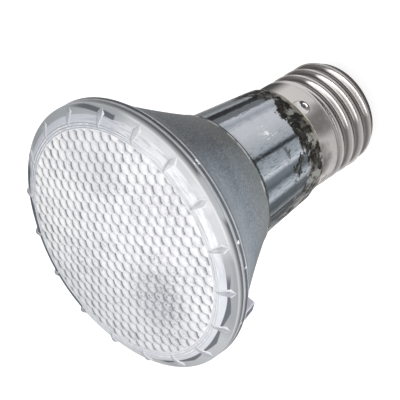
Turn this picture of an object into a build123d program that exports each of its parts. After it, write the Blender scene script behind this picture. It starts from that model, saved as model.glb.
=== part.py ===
from build123d import *
import os
from math import asin, atan2, cos, degrees, radians, sin, sqrt

os.makedirs("parts", exist_ok=True)

# Halogen reflector lamp with a 27 mm screw cap. Millimetres, +Z along the lamp axis from the cap to the lens,
# origin at the tip of the centre contact. Angles are degrees about +Z from +X.

# Screw cap: threaded shell, glass insulator, centre contact
thread_crest_radius = 13.15
thread_depth = 1.1
thread_pitch = 3.629
thread_turns = 4.0
thread_fade = 0.5            # turns over which the thread grows out of the plain wall
thread_start_angle = 112.0
thread_sections = 16         # sections in one turn
cap_wall = 0.3
skirt_length = 5.5           # plain length above the thread
lip_height = 1.2             # rounded end of the shell below the thread
lip_radius = 10.5            # hole left in that end
insulator_drop = 3.3         # cone below the shell's end
insulator_tip_radius = 6.2
insulator_plug = 2.4         # length inside the shell
contact_radius = 5.2
contact_thickness = 0.6
solder_height = 0.7          # solder dome below the contact
solder_radius = 2.4
dent_radius = 3.0            # ball that presses each crimp dent into the skirt
dent_depth = 0.9
dent_below_edge = 1.3        # dent centre below the skirt's edge
dent_clearance = 0.15

# Glass reflector: neck with four wide flats, cone and rim
neck_length = 24.0
neck_radius_low = 14.1       # over the corners, at the cap
neck_radius_high = 16.6      # over the corners, at the cone
neck_flat_angle = 42.0       # arc taken by each wide flat
neck_flat_turn = 19.0        # direction of the first wide flat
neck_flats = 4
neck_facets = 3              # narrow facets between two wide flats
neck_round = 2.2             # height of the rounding above the cap
neck_seat = 0.25             # glass that stands past the skirt on its edge
neck_wall = 2.1
foot_clearance = 0.15        # foot in the skirt
foot_gap = 2.2               # room for the side wire under the foot
floor_thickness = 2.5
cone_foot_radius = 17.8
cone_foot_round = 0.9
cone_height = 23.1
cone_sag = 0.25              # inward bow of the cone's flank
rim_radius = 32.0
rim_depth = 1.15
rim_width = 2.6
rim_flare_drop = 4.3          # wider flare behind the rim
rim_flare_width = 3.3
bowl_wall = 2.2
lug_angle = -150.0
lug_width = 2.7
lug_depth = 4.5
lug_reach = 1.2              # lug's back end in from the rim
lug_skin = 0.1               # lug's front end in from the rim

# Front lens: rim band, bevel with pointed ribs, domed field of hexagonal cells
cement_thickness = 0.25
lens_band = 1.4
bevel_height = 2.5
bevel_width = 3.5
shelf_width = 1.5
lens_dome = 2.3
lens_thickness = 2.6
lens_turn = 6.0              # direction of the first rib and of a row of cells
cell_pitch = 2.68
cell_height = 0.5
cell_groove = 0.14
cell_top_share = 0.6         # top of a cell against its foot
cell_root = 0.4              # depth of a cell's foot inside the lens
cell_border = 0.2            # least room from a cell's middle to the field's edge, in pitches
rib_count = 18
rib_width = 1.9
rib_height = 0.95            # rib tip above the bevel
rib_tip_in = 1.4             # rib tip in from the rim

# Halogen capsule on two pins
capsule_radius = 5.5
capsule_wall = 1.0
capsule_length = 18.0        # straight part above the pinch
tip_radius = 1.2
tip_height = 1.6
pinch_width = 9.0
pinch_thickness = 3.0
pinch_height = 9.0
pin_radius = 0.4
pin_spacing = 5.2
pin_free_length = 8.5        # from the floor to the pinch
pin_grip = 2.6               # pin inside the pinch
pin_clearance = 0.05
foil_width = 2.2
foil_height = 4.2
foil_thickness = 0.1
coil_radius = 0.85
coil_pitch = 0.8
coil_turns = 10
coil_wire_radius = 0.16
coil_rise = 4.0              # coil's lower end above the pinch
inner_lead_radius = 0.25
lead_overrun = 1.4           # long inner lead above the coil
lead_bend = 0.8
joint_gap = 0.05             # welded ends

# Eyelets in the floor and the wires to the cap
eyelet_radius = 1.1
eyelet_flange = 0.8
eyelet_flange_thickness = 0.35
wire_radius = 0.3
wire_drop = 2.4
wire_bend = 1.2
side_solder_radius = 0.9

# Heights worked out from the sizes above
contact_z = solder_height
insulator_z = contact_z + contact_thickness
lip_z = insulator_z + insulator_drop
thread_z = lip_z + lip_height
skirt_z = thread_z + thread_turns * thread_pitch
edge_z = skirt_z + skirt_length
foot_z = skirt_z + foot_gap
floor_z = foot_z + floor_thickness
neck_top_z = edge_z + neck_length
rim_z = neck_top_z + cone_height
seam_z = rim_z + rim_depth
lens_z = seam_z + cement_thickness
band_z = lens_z + lens_band
shelf_z = band_z + bevel_height
pinch_z = floor_z + pin_free_length
bulb_z = pinch_z + pinch_height
coil_z = bulb_z + coil_rise

# Radii worked out from the sizes above
skirt_radius = thread_crest_radius
skirt_bore = skirt_radius - cap_wall
foot_radius = skirt_bore - foot_clearance
shelf_radius = rim_radius - bevel_width
field_radius = shelf_radius - shelf_width
bowl_radius = rim_radius - rim_width
dent_distance = skirt_radius - dent_depth + dent_radius
dent_z = edge_z - dent_below_edge
pin_x = pin_spacing / 2


def turned(*edges):
    """Solid of revolution about the lamp axis, from edges drawn as (radius, height)."""
    return revolve(Plane.XZ * make_face(Curve() + list(edges)), Axis.Z)


def closed(*points):
    """Solid of revolution of a straight-sided outline."""
    return turned(Polyline(*points, close=True))


def around(angle):
    """Turn about the lamp axis."""
    return Rot(0, 0, angle)


def wire_along(radius, bend, *points):
    """Round wire through the points, with rounded corners."""
    path = FilletPolyline(*points, radius=bend)
    return sweep(Plane(origin=path @ 0, z_dir=path % 0) * Circle(radius), path=path)


def smooth(share):
    """Soft step from 0 to 1."""
    share = min(max(share, 0.0), 1.0)
    return share * share * (3 - 2 * share)


def ball_radius(drop, span):
    """Radius of the ball whose cap is drop high and 2 * span wide."""
    return (span * span + drop * drop) / (2 * drop)


def dome_height(radius, top, drop, span):
    """Height of a shallow ball cap at a radius: top on the axis, drop lower at the span."""
    ball = ball_radius(drop, span)
    return top - ball + sqrt(ball * ball - radius * radius)


def thread_core(inset):
    """Threaded length as a loft of circles whose centre winds round the axis; inset moves its wall inwards."""
    steps = round(thread_turns * thread_sections)
    rings = []
    for step in range(steps + 1):
        turn = thread_turns * step / steps
        grow = smooth(turn / thread_fade)
        ebb = smooth((thread_turns - turn) / thread_fade)
        offset = thread_depth / 2 * min(grow, ebb)
        radius = thread_crest_radius - thread_depth / 2 * (1 + ebb - grow)
        angle = radians(thread_start_angle + 360 * turn)
        centre = (offset * cos(angle), offset * sin(angle), thread_z + turn * thread_pitch)
        rings.append(Wire.make_circle(radius - inset, Plane(centre)))
    return Solid.make_loft(rings)


def thread_wall():
    """Threaded length as a thin wall: outer and inner skins closed by a flat ring at each end."""
    outer = thread_core(0)
    inner = thread_core(cap_wall)
    faces = [face for face in outer.faces() + inner.faces() if face.geom_type != GeomType.PLANE]
    for end in (0, -1):
        outer_end = outer.faces().filter_by(GeomType.PLANE).sort_by(Axis.Z)[end]
        inner_end = inner.faces().filter_by(GeomType.PLANE).sort_by(Axis.Z)[end]
        faces.append(Face(outer_end.outer_wire(), [inner_end.outer_wire()]))
    return Solid(Shell(faces))


def dent_balls(growth, top):
    """Balls at the four crimp dents, cut off level at the given height."""
    ball = Pos(dent_distance, 0, dent_z) * Sphere(dent_radius + growth)
    keep = Pos(0, 0, top) * Cylinder(
        2 * rim_radius, 2 * rim_radius, align=(Align.CENTER, Align.CENTER, Align.MAX))
    return [around(neck_flat_turn + 360 / neck_flats * k) * (ball & keep) for k in range(neck_flats)]


def make_cap_shell():
    """Thin shell: rounded lip, screw thread, plain skirt with crimp dents."""
    root = thread_crest_radius - thread_depth
    lip_middle = (root - 0.3 * (root - lip_radius), lip_z + 0.3 * lip_height)
    lip = turned(
        ThreePointArc((root, thread_z), lip_middle, (lip_radius, lip_z)),
        Line((lip_radius, lip_z), (lip_radius, lip_z + cap_wall)),
        ThreePointArc((lip_radius, lip_z + cap_wall),
                      (lip_middle[0] - 0.7 * cap_wall, lip_middle[1] + 0.7 * cap_wall),
                      (root - cap_wall, thread_z)),
        Line((root - cap_wall, thread_z), (root, thread_z)))
    skirt = closed((skirt_bore, skirt_z), (skirt_radius, skirt_z), (skirt_radius, edge_z), (skirt_bore, edge_z))
    core = closed((0, skirt_z), (skirt_bore, skirt_z), (skirt_bore, edge_z), (0, edge_z))
    skirt = skirt + [ball & core for ball in dent_balls(cap_wall, edge_z)]
    skirt = skirt - dent_balls(0, edge_z + cap_wall)
    return skirt + lip + thread_wall()


def make_cap_insulator():
    """Black glass plug with a cone down to the contact and a hole for the wire."""
    hole = 2 * wire_radius
    top = lip_z + insulator_plug
    return closed((hole, insulator_z), (insulator_tip_radius, insulator_z), (lip_radius, lip_z),
                  (lip_radius, top), (hole, top))


def make_centre_contact():
    """Flat brass disc with a hole for the solder."""
    return closed((2 * wire_radius, contact_z), (contact_radius, contact_z),
                  (contact_radius, insulator_z), (2 * wire_radius, insulator_z))


def make_contact_solder():
    """Solder dome under the contact, with a collar round the end of the wire."""
    collar = 2 * wire_radius
    half_way = solder_radius / 2
    return turned(
        Line((0, 0), (0, contact_z)),
        Line((0, contact_z), (wire_radius, contact_z)),
        Line((wire_radius, contact_z), (wire_radius, insulator_z)),
        Line((wire_radius, insulator_z), (collar, insulator_z)),
        Line((collar, insulator_z), (collar, contact_z)),
        Line((collar, contact_z), (solder_radius, contact_z)),
        ThreePointArc((solder_radius, contact_z),
                      (half_way, -dome_height(half_way, 0, solder_height, solder_radius)), (0, 0)))


def neck_corners(radius, height):
    """Outline of the neck: wide flats with narrow facets between them, corners on one circle."""
    quarter = 360 / neck_flats
    step = (quarter - neck_flat_angle) / neck_facets
    points = []
    for k in range(neck_flats):
        start = neck_flat_turn + quarter * k + neck_flat_angle / 2
        for facet in range(neck_facets + 1):
            angle = radians(start + step * facet)
            points.append((radius * cos(angle), radius * sin(angle), height))
    return Wire.make_polygon(points)


def make_reflector():
    """Pressed glass reflector: foot, faceted neck, flared cone, rim and one back lug."""
    flare = (rim_radius - rim_flare_width, rim_z - rim_flare_drop)
    flank_middle = ((cone_foot_radius + flare[0]) / 2 - cone_sag, (neck_top_z + flare[1]) / 2)
    foot_corner = (cone_foot_radius - cone_foot_round, neck_top_z - cone_foot_round)
    foot_middle = (cone_foot_radius - 0.2 * cone_foot_round, neck_top_z - 0.7 * cone_foot_round)
    cone = turned(
        Line((0, foot_corner[1]), foot_corner),
        ThreePointArc(foot_corner, foot_middle, (cone_foot_radius, neck_top_z)),
        ThreePointArc((cone_foot_radius, neck_top_z), flank_middle, flare),
        Line(flare, (rim_radius, rim_z)),
        Line((rim_radius, rim_z), (rim_radius, seam_z)),
        Line((rim_radius, seam_z), (0, seam_z)),
        Line((0, seam_z), (0, foot_corner[1])))

    faceted = Solid.make_loft(
        [neck_corners(neck_radius_low, edge_z), neck_corners(neck_radius_high, neck_top_z)], True)
    seat = skirt_radius + neck_seat
    round_top = (neck_radius_low + neck_seat, edge_z + neck_round)
    round_middle = (seat + 0.7 * (round_top[0] - seat), edge_z + 0.4 * neck_round)
    clear = neck_radius_high + neck_wall
    rounding = turned(
        Line((0, edge_z), (seat, edge_z)),
        ThreePointArc((seat, edge_z), round_middle, round_top),
        Line(round_top, (clear, neck_top_z + neck_wall)),
        Line((clear, neck_top_z + neck_wall), (0, neck_top_z + neck_wall)),
        Line((0, neck_top_z + neck_wall), (0, edge_z)))
    foot = closed((0, foot_z), (foot_radius, foot_z), (foot_radius, edge_z), (0, edge_z))

    flat_share = cos(radians(neck_flat_angle / 2))
    bore_low = min(neck_radius_low * flat_share, foot_radius) - neck_wall
    bore_high = neck_radius_high * flat_share - neck_wall
    throat = (cone_foot_radius - bowl_wall, neck_top_z + bowl_wall / 2)
    bowl_middle = ((throat[0] + bowl_radius) / 2, (throat[1] + seam_z) / 2 - cone_sag)
    hollow = turned(
        Line((0, floor_z), (bore_low, floor_z)),
        Line((bore_low, floor_z), (bore_low, edge_z + neck_round)),
        Line((bore_low, edge_z + neck_round), (bore_high, neck_top_z - neck_wall)),
        Line((bore_high, neck_top_z - neck_wall), throat),
        ThreePointArc(throat, bowl_middle, (bowl_radius, seam_z)),
        Line((bowl_radius, seam_z), (0, seam_z)),
        Line((0, seam_z), (0, floor_z)))

    lug_root = rim_radius - rim_width - bowl_wall
    lug_low = rim_z - lug_depth
    lug_side = make_face(Polyline(
        (lug_root, lug_low), (rim_radius - lug_reach, lug_low), (rim_radius - lug_skin, rim_z), (lug_root, rim_z),
        close=True))
    lug = around(lug_angle) * extrude(Plane.XZ * lug_side, lug_width / 2, both=True)

    holes = [Pos(side * pin_x, 0, foot_z) * Cylinder(
        eyelet_radius, 3 * floor_thickness) for side in (-1, 1)]
    body = cone + lug + (faceted & rounding) + foot
    return body - hollow - holes - dent_balls(cap_wall + dent_clearance, edge_z)


def make_lens_cement():
    """Thin ring of cement between reflector and lens."""
    return closed((bowl_radius, seam_z), (rim_radius, seam_z), (rim_radius, lens_z), (bowl_radius, lens_z))


def lens_cells(apex):
    """Hexagonal cells in rows over the domed field, each a tapered block that leans with the dome."""
    half = (cell_pitch - cell_groove) / 2
    foot = RegularPolygon(half, 6, major_radius=False, rotation=30).wire()
    top = RegularPolygon(half * cell_top_share, 6, major_radius=False, rotation=30).wire()
    block = Solid.make_loft([Pos(0, 0, -cell_root) * foot, foot, Pos(0, 0, cell_height) * top], True)
    field = closed((0, shelf_z - lens_dome), (field_radius, shelf_z - lens_dome),
                   (field_radius, apex + lens_dome), (0, apex + lens_dome))
    rows = int(field_radius / cell_pitch) + 2
    cells = []
    for row in range(-rows, rows + 1):
        for column in range(-rows, rows + 1):
            x = cell_pitch * (column + row % 2 / 2)
            y = cell_pitch * row * sin(radians(60))
            reach = sqrt(x * x + y * y)
            if reach > field_radius - cell_border * cell_pitch:
                continue
            z = dome_height(reach, apex, lens_dome, field_radius)
            lean = degrees(asin(reach / ball_radius(lens_dome, field_radius)))
            heading = degrees(atan2(y, x))
            cell = Pos(x, y, z) * around(heading) * Rot(0, lean, 0) * around(-heading) * block
            if reach > field_radius - 0.7 * cell_pitch:
                cell = cell & field
            cells.append(around(lens_turn) * cell)
    return cells


def lens_ribs():
    """Pointed ribs across the bevel: each is two pyramids foot to foot, one to the shelf and one to the rim."""
    slope = bevel_height / bevel_width
    tip = rim_radius - rib_tip_in
    bevel_at_tip = band_z + slope * rib_tip_in
    foot = bevel_at_tip - rib_height / 2
    waist = Wire.make_polygon([
        (tip, -rib_width / 2, foot), (tip, rib_width / 2, foot), (tip, 0, bevel_at_tip + rib_height)])
    inner = Vertex(field_radius + shelf_width / 6, 0, shelf_z - cell_root / 8)
    outer = Vertex(rim_radius - rib_tip_in / 4, 0, band_z + slope * rib_tip_in / 4 - cell_root / 8)
    rib = Solid.make_loft([inner, waist], True) + Solid.make_loft([waist, outer], True)
    return [around(lens_turn + 360 / rib_count * k) * rib for k in range(rib_count)]


def make_front_lens():
    """Pressed glass lens: band, bevel with ribs, plain shelf and a domed field of cells."""
    apex = shelf_z + lens_dome
    inside = apex - lens_thickness
    inner_edge = (field_radius, dome_height(field_radius, inside, lens_dome, field_radius))
    half_way = field_radius / 2
    body = turned(
        Line((bowl_radius, lens_z), (rim_radius, lens_z)),
        Line((rim_radius, lens_z), (rim_radius, band_z)),
        Line((rim_radius, band_z), (shelf_radius, shelf_z)),
        Line((shelf_radius, shelf_z), (field_radius, shelf_z)),
        ThreePointArc((field_radius, shelf_z),
                      (half_way, dome_height(half_way, apex, lens_dome, field_radius)), (0, apex)),
        Line((0, apex), (0, inside)),
        ThreePointArc((0, inside),
                      (half_way, dome_height(half_way, inside, lens_dome, field_radius)), inner_edge),
        Line(inner_edge, (bowl_radius, lens_z)))
    return body + [*lens_ribs(), *lens_cells(apex)]


def make_capsule(inside):
    """Quartz capsule: tube with a domed top and sealing tip, flat pinch below with room for what it holds."""
    top_z = bulb_z + capsule_length
    bore = capsule_radius - capsule_wall
    neck_z = top_z + capsule_radius
    tube = turned(
        Line((0, bulb_z), (capsule_radius, bulb_z)),
        Line((capsule_radius, bulb_z), (capsule_radius, top_z)),
        ThreePointArc((capsule_radius, top_z),
                      (capsule_radius * cos(radians(45)), top_z + capsule_radius * sin(radians(45))), (0, neck_z)),
        Line((0, neck_z), (0, bulb_z)))
    tip = closed((0, top_z + capsule_wall + bore), (tip_radius, top_z + capsule_wall + bore - tip_radius / 2),
                 (0, neck_z + tip_height))
    cavity = turned(
        Line((0, bulb_z + capsule_wall), (bore, bulb_z + capsule_wall)),
        Line((bore, bulb_z + capsule_wall), (bore, top_z)),
        ThreePointArc((bore, top_z), (bore * cos(radians(45)), top_z + bore * sin(radians(45))), (0, top_z + bore)),
        Line((0, top_z + bore), (0, bulb_z + capsule_wall)))
    pinch = Pos(0, 0, pinch_z) * Box(
        pinch_width, pinch_thickness, pinch_height, align=(Align.CENTER, Align.CENTER, Align.MIN))
    return tube + tip + pinch - cavity - inside


def make_foil(side):
    """Molybdenum foil sealed in the pinch, on top of its pin."""
    return Pos(side * pin_x, 0, pinch_z + pin_grip) * Box(
        foil_width, foil_thickness, foil_height, align=(Align.CENTER, Align.CENTER, Align.MIN))


def make_pin(side):
    """Straight pin from the pinch down through its eyelet."""
    low = foot_z - 2 * eyelet_flange_thickness
    return Pos(side * pin_x, 0, low) * Cylinder(
        pin_radius, pinch_z + pin_grip - low, align=(Align.CENTER, Align.CENTER, Align.MIN))


def make_eyelet(side):
    """Brass eyelet through the floor, with a flange above and a rolled edge below."""
    hole = pin_radius + pin_clearance
    flange = eyelet_radius + eyelet_flange
    top = floor_z + eyelet_flange_thickness
    low = foot_z - eyelet_flange_thickness
    return Pos(side * pin_x, 0, 0) * closed(
        (hole, low), (flange, low), (flange, foot_z), (eyelet_radius, foot_z), (eyelet_radius, floor_z),
        (flange, floor_z), (flange, top), (hole, top))


def make_filament():
    """Tungsten coil on the lamp axis."""
    path = Pos(0, 0, coil_z) * Helix(coil_pitch, coil_pitch * coil_turns, coil_radius)
    return sweep(Plane(origin=path @ 0, z_dir=path % 0) * Circle(coil_wire_radius), path=path, is_frenet=True)


def make_short_lead():
    """Inner lead from the first foil up to the coil's lower end."""
    low = pinch_z + pin_grip + foil_height
    end = coil_z - coil_wire_radius - joint_gap
    return wire_along(inner_lead_radius, lead_bend, (pin_x, 0, low), (pin_x, 0, bulb_z + 0.3 * coil_rise),
                      (coil_radius, 0, bulb_z + 0.65 * coil_rise), (coil_radius, 0, end))


def make_long_lead():
    """Inner lead from the second foil past the coil and over to its upper end."""
    low = pinch_z + pin_grip + foil_height
    coil_top = coil_z + coil_pitch * coil_turns
    end = coil_top + coil_wire_radius + joint_gap
    over = end + lead_overrun
    return wire_along(inner_lead_radius, lead_bend, (-pin_x, 0, low), (-pin_x, 0, over),
                      (coil_radius, 0, over), (coil_radius, 0, end))


def make_contact_wire():
    """Wire from the first pin down to the centre contact."""
    start = foot_z - 2 * eyelet_flange_thickness
    return wire_along(wire_radius, wire_bend, (pin_x, 0, start), (pin_x, 0, start - wire_drop),
                      (0, 0, start - 2 * wire_drop), (0, 0, contact_z))


def make_side_wire():
    """Wire from the second pin out to the skirt."""
    start = foot_z - 2 * eyelet_flange_thickness
    return wire_along(wire_radius, wire_bend, (-pin_x, 0, start), (-pin_x, 0, start - wire_drop),
                      (side_solder_radius / 2 - skirt_bore, 0, skirt_z + side_solder_radius))


def make_side_solder(wire):
    """Solder that joins the side wire to the inside of the skirt."""
    core = closed((0, skirt_z), (skirt_bore, skirt_z), (skirt_bore, edge_z), (0, edge_z))
    blob = Pos(side_solder_radius / 2 - skirt_bore, 0, skirt_z + side_solder_radius) * Sphere(side_solder_radius)
    return (blob & core) - wire


contact_wire = make_contact_wire()
side_wire = make_side_wire()
foils = {side: make_foil(side) for side in (-1, 1)}
pins = {side: make_pin(side) for side in (-1, 1)}
short_lead = make_short_lead()
long_lead = make_long_lead()
sealed_in = [*foils.values(), *pins.values(), short_lead, long_lead]

nodes = {
    "cap_shell": make_cap_shell(),
    "cap_insulator": make_cap_insulator(),
    "centre_contact": make_centre_contact(),
    "contact_solder": make_contact_solder(),
    "contact_wire": contact_wire,
    "side_wire": side_wire,
    "side_solder": make_side_solder(side_wire),
    "reflector": make_reflector(),
    "lens_cement": make_lens_cement(),
    "front_lens": make_front_lens(),
    "capsule_envelope": make_capsule(sealed_in),
    "filament": make_filament(),
    "inner_lead_short": short_lead,
    "inner_lead_long": long_lead,
    "foil_right": foils[1],
    "foil_left": foils[-1],
    "pin_right": pins[1],
    "pin_left": pins[-1],
    "eyelet_right": make_eyelet(1),
    "eyelet_left": make_eyelet(-1),
}

for name, solid in nodes.items():
    export_step(solid, f"parts/{name}.step")
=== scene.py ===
"""Halogen reflector lamp: the finished look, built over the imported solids.

Shapes are worked out in millimetres. Materials read Object coordinates, which are in metres."""
from math import cos, pi, radians, sin

import bpy
import numpy as np
from mathutils import Matrix, Vector


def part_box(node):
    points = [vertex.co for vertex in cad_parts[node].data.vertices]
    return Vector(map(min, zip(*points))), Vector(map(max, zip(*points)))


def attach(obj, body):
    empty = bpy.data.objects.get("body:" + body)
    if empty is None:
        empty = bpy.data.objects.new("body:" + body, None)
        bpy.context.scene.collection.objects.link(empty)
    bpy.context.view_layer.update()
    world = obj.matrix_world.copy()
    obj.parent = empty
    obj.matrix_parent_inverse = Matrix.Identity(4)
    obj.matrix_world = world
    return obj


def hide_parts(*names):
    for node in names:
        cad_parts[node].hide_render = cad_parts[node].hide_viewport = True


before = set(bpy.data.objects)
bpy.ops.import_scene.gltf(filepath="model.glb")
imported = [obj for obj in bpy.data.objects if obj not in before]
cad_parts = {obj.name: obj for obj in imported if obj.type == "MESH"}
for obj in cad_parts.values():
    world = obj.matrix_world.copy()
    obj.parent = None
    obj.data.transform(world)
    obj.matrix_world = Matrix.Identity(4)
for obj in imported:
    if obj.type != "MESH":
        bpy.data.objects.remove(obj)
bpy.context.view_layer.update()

MM = 0.001

# Levels and radii read from the solids, in millimetres
lens_low, lens_high = (np.array(corner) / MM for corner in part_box("front_lens"))
reflector_low, reflector_high = (np.array(corner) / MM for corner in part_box("reflector"))
shell_low, shell_high = (np.array(corner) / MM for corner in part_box("cap_shell"))
rim_radius = lens_high[0]
lens_z = lens_low[2]
seam_z = reflector_high[2]
foot_z = reflector_low[2]
lip_z = shell_low[2]
edge_z = shell_high[2]
cap_radius = 13.15

# Front lens
lens_band = 1.4
bevel_height = 2.5
bevel_width = 3.5
shelf_width = 1.5
lens_dome = 2.3
lens_thickness = 2.6
lens_turn = 6.0
cell_pitch = 2.68
cell_height = 0.32
rib_count = 18
rib_width = 2.1
rib_height = 0.85
rib_tip_in = 1.4
rim_width = 2.6
lens_grid = 240  # points across the domed field, even, so that none is on an axis
band_z = lens_z + lens_band
shelf_z = band_z + bevel_height
apex_z = shelf_z + lens_dome
shelf_radius = rim_radius - bevel_width
field_radius = shelf_radius - shelf_width
bowl_radius = rim_radius - rim_width
cell_row = sin(radians(60))  # between rows of cells, in cell widths
cell_fade = 0.35  # where the cells run out into the shelf
bevel_soft = 0.25  # rounding between shelf and bevel
rib_pace = 2 * pi / rib_count
rib_start = field_radius + shelf_width / 6
rib_tip = rim_radius - rib_tip_in
rib_end = rim_radius - rib_tip_in / 4

# Reflector
neck_length = 24.0
neck_radius_low = 14.1
neck_radius_high = 16.6
neck_flat_angle = 42.0
neck_flat_turn = 19.0
neck_flats = 4
neck_facets = 3
neck_round = 2.2
neck_wall = 2.1
floor_z = foot_z + 2.5
cone_foot_radius = 17.8
cone_foot_round = 0.9
cone_sag = 0.25
rim_depth = 1.15
rim_flare_drop = 4.3
rim_flare_width = 3.3
bowl_wall = 2.2
lug_angle = -150.0
lug_width = 2.7
lug_depth = 4.5
lug_reach = 1.2
lug_skin = 0.1
foot_gap = 0.15  # between the foot and the cap's wall
seat_step = 0.25  # shoulder of the neck outside the cap's edge
pole_radius = 0.05  # innermost ring round a pole
mirror_end_z = 30.7  # lower end of the mirror coat, where it is lowest
neck_top_z = edge_z + neck_length
rim_z = seam_z - rim_depth

# Screw cap
thread_depth = 1.1
thread_pitch = 3.629
thread_turns = 4.0
thread_fade = 0.5
thread_start_angle = 112.0
cap_wall = 0.3
lip_height = 1.2
lip_radius = 10.5
dent_radius = 3.0
dent_depth = 0.9
dent_below_edge = 1.3
thread_z = lip_z + lip_height
skirt_z = thread_z + thread_turns * thread_pitch

# Camera, found from the circles of rim, seam, neck and cap in the picture
camera_fov = 12.0
camera_distance = 416.06
camera_tilt = 52.83
camera_roll = 122.19
camera_aside = (-13.52, -6.97)

# Marks on the finishes: places in millimetres, sides in degrees round the axis
glass_ior = 1.47
throat_x, throat_y = -14.0, -3.5  # painted shade on the lens, where the throat shows through
lens_shade_x, lens_shade_y = 19.0, -10.0  # centre of the broadest painted shade on the lens
line_pitch = 0.6  # turned lines on the shelf
bevel_line = shelf_radius + 1.45  # where the plain part of the bevel begins
far_line = shelf_radius + 0.4  # where the dark strip of painted shade on the far bevel begins
light_side = -81.0  # bevel that catches the light
arc_side = -41.5  # beginning of the dark arc of painted shade on the bevel
coat_side = -75.0  # where the mirror coat reaches lowest
coat_radius = 14.0  # radius at which the coat's ragged end is drawn
neck_glint_side, neck_glint_z = -76.0, 38.7  # painted glint on the mirror coat
neck_glint_radius = 15.0  # of the neck at the painted glint
skirt_shade_side = -93.4  # dark patch of painted reflection on the skirt

# Floor and lamps
table_radius = 450.0
light_aim = Vector((0, 0, 45.0))
light_distance = 800.0


class Value:
    """A shader socket of a finish; arithmetic on it adds Math nodes."""

    def __init__(self, finish, socket):
        self.finish = finish
        self.socket = socket

    def math(self, operation, *others):
        """Result of one Math node on this value and the others."""
        return self.finish.node("Math", {"operation": operation}, dict(enumerate((self, *others))))

    def __add__(self, other):
        return self.math("ADD", other)

    __radd__ = __add__

    def __sub__(self, other):
        return self.math("SUBTRACT", other)

    def __rsub__(self, other):
        return self.math("MULTIPLY_ADD", -1.0, other)

    def __mul__(self, other):
        return self.math("MULTIPLY", other)

    __rmul__ = __mul__

    def __truediv__(self, other):
        return self.math("DIVIDE", other)

    def __pow__(self, other):
        return self.math("POWER", other)

    def wrap(self, low, high):
        """Brought into a range by whole spans."""
        return self.math("WRAP", high, low)

    def least(self, other):
        return self.math("MINIMUM", other)

    def most(self, other):
        return self.math("MAXIMUM", other)

    def step(self, low, high):
        """0 below low, 1 above high, smooth between."""
        smooth = {"interpolation_type": "SMOOTHSTEP"}
        return self.finish.node("MapRange", smooth, {0: self, 1: low, 2: high})

    def fade(self, low, high):
        """1 below low, 0 above high, smooth between."""
        return 1.0 - self.step(low, high)

    def facing(self, side):
        """Cosine of the way round from a side in degrees: 1 there, -1 opposite; the value is in radians."""
        return (self - radians(side)).math("COSINE")

    def within(self, side, half, soft):
        """1 within half a span of a side, fading over soft; all in degrees."""
        return self.facing(side).step(cos(radians(half + soft)), cos(radians(half)))


class Finish:
    """A material or world under construction."""

    def __init__(self, owner, output):
        owner.use_nodes = True
        self.owner = owner
        self.tree = owner.node_tree
        self.tree.nodes.clear()
        self.end = self.tree.nodes.new(output)

    def node(self, kind, settings=None, sockets=None, out=0):
        """Adds a node: its settings first, then its sockets, each set to a number or a colour of red, green
        and blue, or linked to a Value; gives one output."""
        node = self.tree.nodes.new("ShaderNode" + kind)
        for name, value in (settings or {}).items():
            if name == "stops":
                ramp = node.color_ramp.elements
                while len(ramp) < len(value):
                    ramp.new(1.0)
                for stop, (place, colour) in zip(ramp, value):
                    stop.position = place
                    stop.color = (*colour, 1.0)
            else:
                setattr(node, name, value)
        for name, value in (sockets or {}).items():
            if isinstance(value, Value):
                self.tree.links.new(value.socket, node.inputs[name])
            else:
                node.inputs[name].default_value = (*value, 1.0) if isinstance(value, tuple) else value
        return Value(self, node.outputs[out])

    def mix(self, share, first, second):
        """Colour between two colours; sockets go by number, because the node repeats their names."""
        return self.node("Mix", {"data_type": "RGBA"}, {0: share, 6: first, 7: second}, out=2)

    def place(self):
        """Object coordinates, in metres."""
        return self.node("TexCoord", out="Object")

    def axes(self, vector):
        """The three parts of a vector."""
        first = self.node("SeparateXYZ", None, {0: vector})
        return [Value(self, part) for part in first.socket.node.outputs]

    def vector(self, x, y, z=0.0):
        return self.node("CombineXYZ", None, {0: x, 1: y, 2: z})

    def rays(self):
        """1 for a ray from the camera, through glass and off gloss, in that order, else 0."""
        kinds = ("Is Camera Ray", "Is Transmission Ray", "Is Glossy Ray")
        return [self.node("LightPath", out=kind) for kind in kinds]

    def noise(self, vector, scale, detail=3.0, roughness=0.55):
        """Noise from 0 to 1; scale counts blobs in a unit of the vector."""
        return self.node("TexNoise", None, {"Vector": vector, "Scale": scale, "Detail": detail,
                                            "Roughness": roughness})

    def bump(self, height, strength, distance):
        """Normal bent by a height times a distance in metres."""
        return self.node("Bump", None, {"Strength": strength, "Distance": distance, "Height": height})

    def principled(self, colour, roughness, others):
        return self.node("BsdfPrincipled", None, {"Base Color": colour, "Roughness": roughness, **others})

    def dull(self, colour):
        """Matt shader of one colour, with no gloss."""
        return self.node("BsdfDiffuse", None, {"Color": colour})

    def blend(self, share, first, second):
        """Second shader laid over the first by a share."""
        return self.node("MixShader", None, {0: share, 1: first, 2: second})

    def finish(self, shader):
        self.tree.links.new(shader.socket, self.end.inputs["Surface"])
        return self.owner


def new_finish(name):
    return Finish(bpy.data.materials.new(name), "ShaderNodeOutputMaterial")


def length(x, y):
    """Length of a way with two parts."""
    return (x * x + y * y) ** 0.5


def bearing(x, y):
    """Direction round the axis, in radians."""
    return y.math("ARCTAN2", x)


def grey(level):
    return (level, level, level)


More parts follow.
